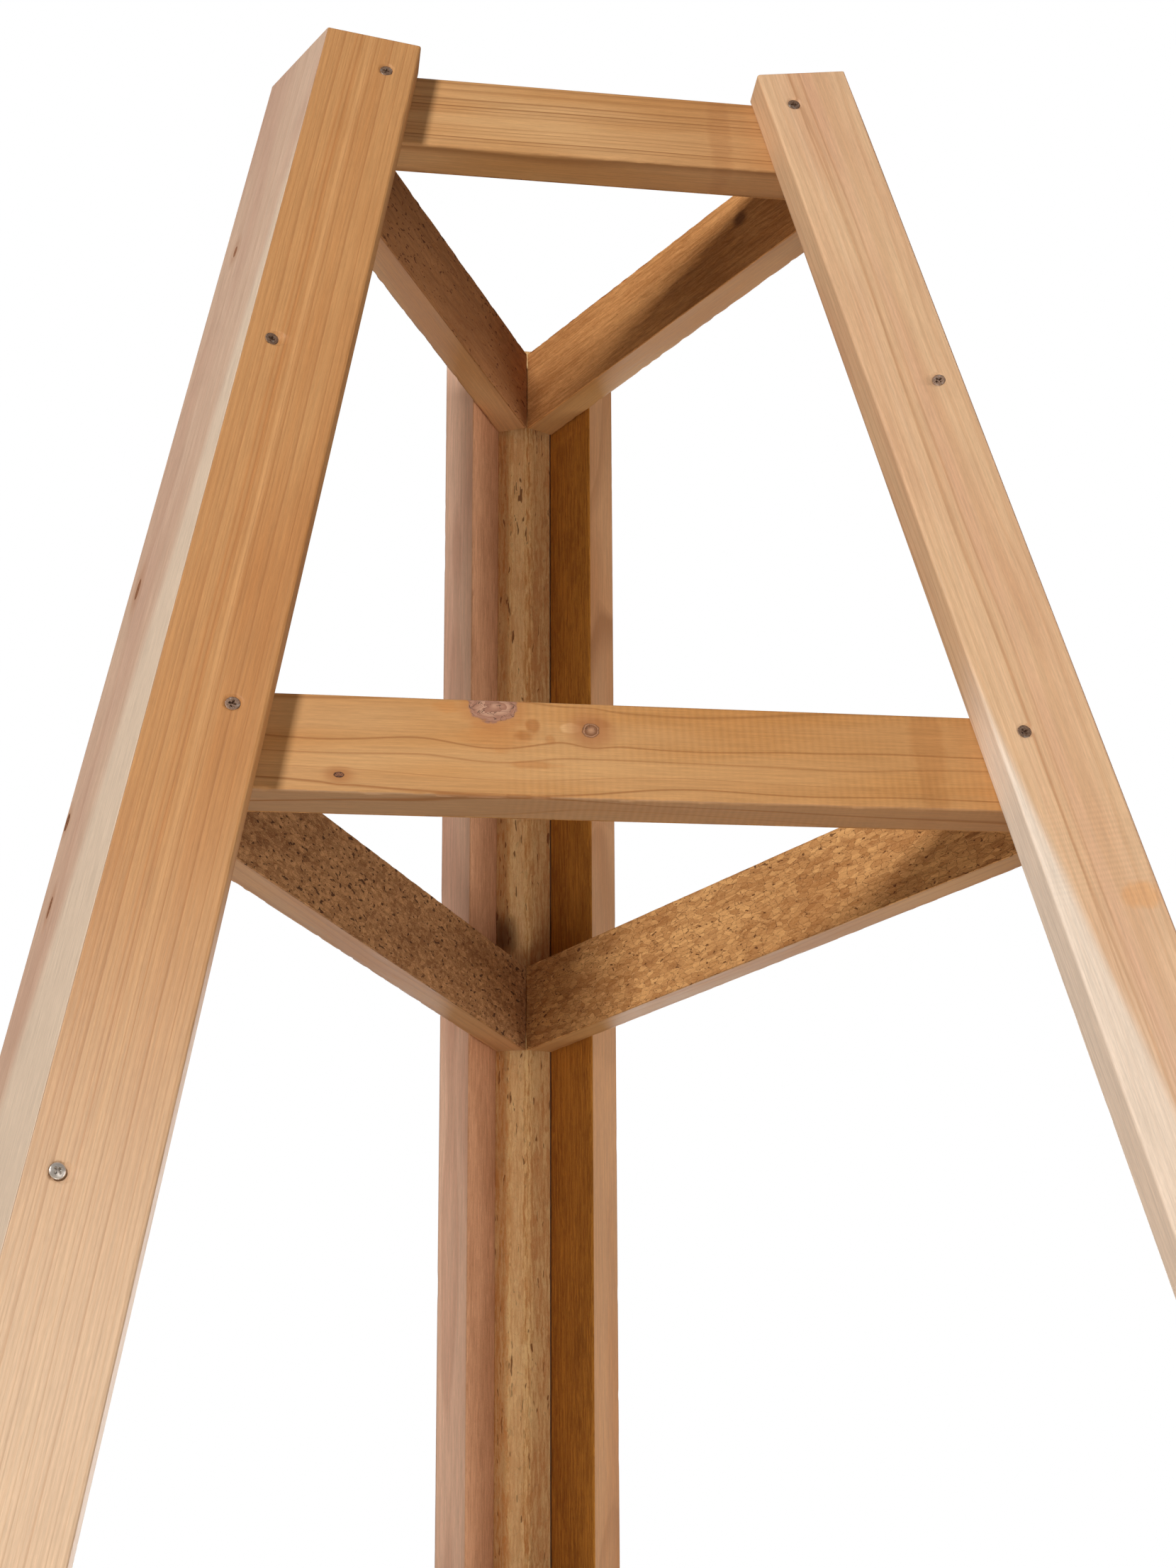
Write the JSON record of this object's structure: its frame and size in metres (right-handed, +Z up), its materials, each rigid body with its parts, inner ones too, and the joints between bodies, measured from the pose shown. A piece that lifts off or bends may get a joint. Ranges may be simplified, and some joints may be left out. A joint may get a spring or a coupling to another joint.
{
  "type": "garden obelisk",
  "caption": "three-legged cedar garden obelisk: leaning trough-shaped legs of mitred boards, tied by screwed horizontal rails, open for climbing plants",
  "frame": {"origin": "middle of the footprint's bounding box, on the ground", "axes": "+Z up, front face looks along -Y, third leg at +Y"},
  "size_m": [1.0712, 0.9276, 1.83],
  "materials": {
    "corner_board": "smooth planed cedar, pinkish with pale sapwood, unfinished",
    "side_board": "smooth planed honey cedar with straight grain, unfinished",
    "rail": "cedar, planed outside and rough sawn inside, unfinished",
    "screw": "bronze-coated steel deck screws"
  },
  "bodies": {
    "root": {"left_leg_corner_board": "corner_board", "right_leg_corner_board": "corner_board", "back_leg_corner_board": "corner_board", "left_leg_front_board": "side_board", "left_leg_back_board": "side_board", "right_leg_front_board": "side_board", "right_leg_back_board": "side_board", "back_leg_left_board": "side_board", "back_leg_right_board": "side_board", "front_rail_1": "rail", "front_rail_2": "rail", "front_rail_3": "rail", "front_rail_4": "rail", "right_rail_1": "rail", "right_rail_2": "rail", "right_rail_3": "rail", "right_rail_4": "rail", "left_rail_1": "rail", "left_rail_2": "rail", "left_rail_3": "rail", "left_rail_4": "rail", "rail_screws": "screw", "corner_screws": "screw"}
  },
  "joints": []
}
